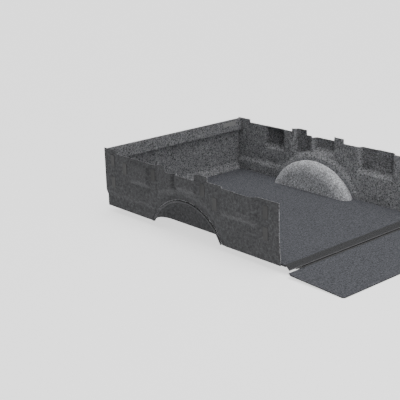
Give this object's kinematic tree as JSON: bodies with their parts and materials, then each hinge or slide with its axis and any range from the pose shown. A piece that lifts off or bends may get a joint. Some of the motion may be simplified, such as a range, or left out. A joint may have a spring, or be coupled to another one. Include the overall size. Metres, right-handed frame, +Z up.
{
  "type": "truck bed liner",
  "caption": "Moulded carpet bed liner for a pick-up: bulkhead, side walls with wheel well covers, padded floor mat and a zip-on tailgate mat that folds.",
  "frame": {"origin": "middle of the floor mat's underside, where it rests on the bed floor", "axes": "+X towards the passenger side, +Y towards the cab, +Z up"},
  "size_m": [1.68, 2.6767, 0.5746],
  "materials": {
    "carpet": "needle-punched, mottled grey",
    "cover_carpet": "needle-punched, light mottled grey",
    "mat_skin": "short dense pile, dark grey",
    "foam": "closed-cell foam",
    "gap_fabric": "flexible woven cover",
    "tape": "woven tape",
    "teeth": "moulded",
    "slider_metal": "satin grey",
    "tag": "blank, satin",
    "loop": "loop pile",
    "hook": "hook tape with adhesive"
  },
  "bodies": {
    "bed_liner": {"floor_foam": "foam", "floor_skin": "mat_skin", "gap_cover_front_strip": "gap_fabric", "bulkhead_carpet": "carpet", "bulkhead_foam_backing": "foam", "blank_tag": "tag", "left_side_carpet": "carpet", "left_side_foam_backing": "foam", "left_wheel_well_cover": "cover_carpet", "left_side_loop_patches": "loop", "left_side_hook_patches": "hook", "right_side_carpet": "carpet", "right_side_foam_backing": "foam", "right_wheel_well_cover": "cover_carpet", "right_side_loop_patches": "loop", "right_side_hook_patches": "hook", "bulkhead_loop_patches": "loop", "bulkhead_hook_patches": "hook", "header_band_loop_patches": "loop", "header_band_hook_patches": "hook"},
    "tailgate_mat": {"tailgate_skin": "mat_skin", "tailgate_foam": "foam", "gap_cover_rear_strip": "gap_fabric", "zipper_tape_front": "tape", "zipper_tape_rear": "tape", "zipper_teeth_front": "teeth", "zipper_teeth_rear": "teeth", "zipper_top_stops": "teeth", "zipper_retainer_box": "teeth", "tailgate_loop_patches": "loop", "tailgate_hook_patches": "hook"},
    "slider": {"zipper_slider": "slider_metal"},
    "pull_tab": {"zipper_pull_tab": "slider_metal"}
  },
  "joints": [
    {"name": "tailgate_fold", "type": "hinge", "parent": "bed_liner", "child": "tailgate_mat", "pos_m": [0, -1.044, -0.0006], "axis": [-1, 0, 0], "range_deg": [0, 92.6]},
    {"name": "zipper_slide", "type": "slide", "parent": "tailgate_mat", "child": "slider", "axis": [1, 0, 0], "range_m": [0, 1.29]},
    {"name": "pull_tab_swing", "type": "hinge", "parent": "slider", "child": "pull_tab", "pos_m": [-0.655, -1.0722, -0.0166], "axis": [0, 0.999, 0.0454], "range_deg": [0, 170]}
  ]
}
